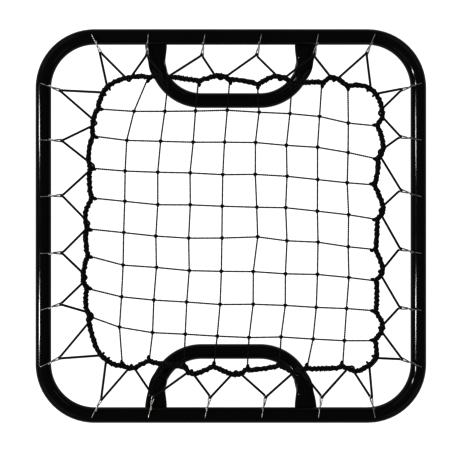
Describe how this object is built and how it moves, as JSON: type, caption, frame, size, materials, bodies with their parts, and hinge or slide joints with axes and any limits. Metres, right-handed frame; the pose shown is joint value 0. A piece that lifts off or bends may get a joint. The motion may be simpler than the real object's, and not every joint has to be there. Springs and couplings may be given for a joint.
{
  "type": "pitch back rebounder",
  "caption": "Square tubular steel rebounder with a knotted net laced inside it by elastic cord and wire hooks, on two bent U legs that serve as feet and grips.",
  "frame": {"origin": "on the floor under the middle of the frame", "axes": "+X across the frame, +Y up the frame, +Z out of the playing face, up when it lies on its two crossbars"},
  "size_m": [0.64, 0.645, 0.0914],
  "materials": {
    "black_tube": "gloss black powder coat",
    "zinc_steel": "zinc plated",
    "hook_wire": "bright drawn wire, slightly dulled",
    "net_twine": "twisted black polyethylene twine",
    "net_rope": "black rope with a lashed cover",
    "elastic_cord": "braided black cover over rubber"
  },
  "bodies": {
    "frame": {"frame_tube": "black_tube", "upper_leg": "black_tube", "lower_leg": "black_tube", "leg_bolts": "zinc_steel", "leg_washers": "zinc_steel", "rivet_nuts": "zinc_steel"},
    "net": {"net_mesh": "net_twine", "border_rope": "net_rope", "shock_cord_top": "elastic_cord", "shock_cord_right": "elastic_cord", "shock_cord_bottom": "elastic_cord", "shock_cord_left": "elastic_cord"},
    "hook_top_1": {"hook_top_1": "hook_wire"},
    "hook_top_2": {"hook_top_2": "hook_wire"},
    "hook_top_3": {"hook_top_3": "hook_wire"},
    "hook_top_4": {"hook_top_4": "hook_wire"},
    "hook_top_5": {"hook_top_5": "hook_wire"},
    "hook_top_6": {"hook_top_6": "hook_wire"},
    "hook_right_1": {"hook_right_1": "hook_wire"},
    "hook_right_2": {"hook_right_2": "hook_wire"},
    "hook_right_3": {"hook_right_3": "hook_wire"},
    "hook_right_4": {"hook_right_4": "hook_wire"},
    "hook_right_5": {"hook_right_5": "hook_wire"},
    "hook_right_6": {"hook_right_6": "hook_wire"},
    "hook_bottom_1": {"hook_bottom_1": "hook_wire"},
    "hook_bottom_2": {"hook_bottom_2": "hook_wire"},
    "hook_bottom_3": {"hook_bottom_3": "hook_wire"},
    "hook_bottom_4": {"hook_bottom_4": "hook_wire"},
    "hook_bottom_5": {"hook_bottom_5": "hook_wire"},
    "hook_bottom_6": {"hook_bottom_6": "hook_wire"},
    "hook_left_1": {"hook_left_1": "hook_wire"},
    "hook_left_2": {"hook_left_2": "hook_wire"},
    "hook_left_3": {"hook_left_3": "hook_wire"},
    "hook_left_4": {"hook_left_4": "hook_wire"},
    "hook_left_5": {"hook_left_5": "hook_wire"},
    "hook_left_6": {"hook_left_6": "hook_wire"}
  },
  "joints": [
    {"name": "net_rebound", "type": "slide", "parent": "frame", "child": "net", "axis": [0, 0, -1], "range_m": [-0.015, 0.03], "stiffness_N_per_m": 800, "deforming": ["shock_cord_top", "shock_cord_right", "shock_cord_bottom", "shock_cord_left"]},
    {"name": "tilt_top_1", "type": "hinge", "parent": "frame", "child": "hook_top_1", "pos_m": [-0.226, 0.311, 0.08182], "axis": [0.9005, 0.4348, 0], "range_deg": [-9, 18]},
    {"name": "tilt_top_2", "type": "hinge", "parent": "frame", "child": "hook_top_2", "pos_m": [-0.134, 0.311, 0.08182], "axis": [0.9983, -0.058, 0], "range_deg": [-9, 18]},
    {"name": "tilt_top_3", "type": "hinge", "parent": "frame", "child": "hook_top_3", "pos_m": [-0.042, 0.311, 0.08182], "axis": [0.9894, -0.1449, 0], "range_deg": [-9, 18]},
    {"name": "tilt_top_4", "type": "hinge", "parent": "frame", "child": "hook_top_4", "pos_m": [0.05, 0.311, 0.08182], "axis": [0.9727, -0.2319, 0], "range_deg": [-9, 18]},
    {"name": "tilt_top_5", "type": "hinge", "parent": "frame", "child": "hook_top_5", "pos_m": [0.142, 0.311, 0.08182], "axis": [0.9792, -0.2029, 0], "range_deg": [-9, 18]},
    {"name": "tilt_top_6", "type": "hinge", "parent": "frame", "child": "hook_top_6", "pos_m": [0.234, 0.311, 0.08182], "axis": [0.914, -0.4058, 0], "range_deg": [-9, 18]},
    {"name": "tilt_right_1", "type": "hinge", "parent": "frame", "child": "hook_right_1", "pos_m": [0.3085, 0.2315, 0.08182], "axis": [0.3188, -0.9478, 0], "range_deg": [-9, 18]},
    {"name": "tilt_right_2", "type": "hinge", "parent": "frame", "child": "hook_right_2", "pos_m": [0.3085, 0.1395, 0.08182], "axis": [-0.1449, -0.9894, 0], "range_deg": [-9, 18]},
    {"name": "tilt_right_3", "type": "hinge", "parent": "frame", "child": "hook_right_3", "pos_m": [0.3085, 0.0475, 0.08182], "axis": [-0.2899, -0.9571, 0], "range_deg": [-9, 18]},
    {"name": "tilt_right_4", "type": "hinge", "parent": "frame", "child": "hook_right_4", "pos_m": [0.3085, -0.0445, 0.08182], "axis": [-0.2029, -0.9792, 0], "range_deg": [-9, 18]},
    {"name": "tilt_right_5", "type": "hinge", "parent": "frame", "child": "hook_right_5", "pos_m": [0.3085, -0.1365, 0.08182], "axis": [-0.1159, -0.9933, 0], "range_deg": [-9, 18]},
    {"name": "tilt_right_6", "type": "hinge", "parent": "frame", "child": "hook_right_6", "pos_m": [0.3085, -0.2285, 0.08182], "axis": [-0.3768, -0.9263, 0], "range_deg": [-9, 18]},
    {"name": "tilt_bottom_1", "type": "hinge", "parent": "frame", "child": "hook_bottom_1", "pos_m": [0.234, -0.311, 0.08182], "axis": [-0.9792, -0.2029, 0], "range_deg": [-9, 18]},
    {"name": "tilt_bottom_2", "type": "hinge", "parent": "frame", "child": "hook_bottom_2", "pos_m": [0.142, -0.311, 0.08182], "axis": [-0.9894, 0.1449, 0], "range_deg": [-9, 18]},
    {"name": "tilt_bottom_3", "type": "hinge", "parent": "frame", "child": "hook_bottom_3", "pos_m": [0.05, -0.311, 0.08182], "axis": [-0.9848, 0.1739, 0], "range_deg": [-9, 18]},
    {"name": "tilt_bottom_4", "type": "hinge", "parent": "frame", "child": "hook_bottom_4", "pos_m": [-0.042, -0.311, 0.08182], "axis": [-0.9727, 0.2319, 0], "range_deg": [-9, 18]},
    {"name": "tilt_bottom_5", "type": "hinge", "parent": "frame", "child": "hook_bottom_5", "pos_m": [-0.134, -0.311, 0.08182], "axis": [-0.9727, 0.2319, 0], "range_deg": [-9, 18]},
    {"name": "tilt_bottom_6", "type": "hinge", "parent": "frame", "child": "hook_bottom_6", "pos_m": [-0.226, -0.311, 0.08182], "axis": [-0.886, 0.4638, 0], "range_deg": [-9, 18]},
    {"name": "tilt_left_1", "type": "hinge", "parent": "frame", "child": "hook_left_1", "pos_m": [-0.3085, -0.2285, 0.08182], "axis": [-0.4348, 0.9005, 0], "range_deg": [-9, 18]},
    {"name": "tilt_left_2", "type": "hinge", "parent": "frame", "child": "hook_left_2", "pos_m": [-0.3085, -0.1365, 0.08182], "axis": [-0.2899, 0.9571, 0], "range_deg": [-9, 18]},
    {"name": "tilt_left_3", "type": "hinge", "parent": "frame", "child": "hook_left_3", "pos_m": [-0.3085, -0.0445, 0.08182], "axis": [-0.029, 0.9996, 0], "range_deg": [-9, 18]},
    {"name": "tilt_left_4", "type": "hinge", "parent": "frame", "child": "hook_left_4", "pos_m": [-0.3085, 0.0475, 0.08182], "axis": [-0.058, 0.9983, 0], "range_deg": [-9, 18]},
    {"name": "tilt_left_5", "type": "hinge", "parent": "frame", "child": "hook_left_5", "pos_m": [-0.3085, 0.1395, 0.08182], "axis": [0.029, 0.9996, 0], "range_deg": [-9, 18]},
    {"name": "tilt_left_6", "type": "hinge", "parent": "frame", "child": "hook_left_6", "pos_m": [-0.3085, 0.2315, 0.08182], "axis": [0.3478, 0.9376, 0], "range_deg": [-9, 18]}
  ],
  "couplings": [
    {"joint": "tilt_top_1", "follows": "net_rebound", "rad_per_m": 10.4},
    {"joint": "tilt_top_2", "follows": "net_rebound", "rad_per_m": 10.4},
    {"joint": "tilt_top_3", "follows": "net_rebound", "rad_per_m": 10.4},
    {"joint": "tilt_top_4", "follows": "net_rebound", "rad_per_m": 10.4},
    {"joint": "tilt_top_5", "follows": "net_rebound", "rad_per_m": 10.4},
    {"joint": "tilt_top_6", "follows": "net_rebound", "rad_per_m": 10.4},
    {"joint": "tilt_right_1", "follows": "net_rebound", "rad_per_m": 10.4},
    {"joint": "tilt_right_2", "follows": "net_rebound", "rad_per_m": 10.4},
    {"joint": "tilt_right_3", "follows": "net_rebound", "rad_per_m": 10.4},
    {"joint": "tilt_right_4", "follows": "net_rebound", "rad_per_m": 10.4},
    {"joint": "tilt_right_5", "follows": "net_rebound", "rad_per_m": 10.4},
    {"joint": "tilt_right_6", "follows": "net_rebound", "rad_per_m": 10.4},
    {"joint": "tilt_bottom_1", "follows": "net_rebound", "rad_per_m": 10.4},
    {"joint": "tilt_bottom_2", "follows": "net_rebound", "rad_per_m": 10.4},
    {"joint": "tilt_bottom_3", "follows": "net_rebound", "rad_per_m": 10.4},
    {"joint": "tilt_bottom_4", "follows": "net_rebound", "rad_per_m": 10.4},
    {"joint": "tilt_bottom_5", "follows": "net_rebound", "rad_per_m": 10.4},
    {"joint": "tilt_bottom_6", "follows": "net_rebound", "rad_per_m": 10.4},
    {"joint": "tilt_left_1", "follows": "net_rebound", "rad_per_m": 10.4},
    {"joint": "tilt_left_2", "follows": "net_rebound", "rad_per_m": 10.4},
    {"joint": "tilt_left_3", "follows": "net_rebound", "rad_per_m": 10.4},
    {"joint": "tilt_left_4", "follows": "net_rebound", "rad_per_m": 10.4},
    {"joint": "tilt_left_5", "follows": "net_rebound", "rad_per_m": 10.4},
    {"joint": "tilt_left_6", "follows": "net_rebound", "rad_per_m": 10.4}
  ]
}
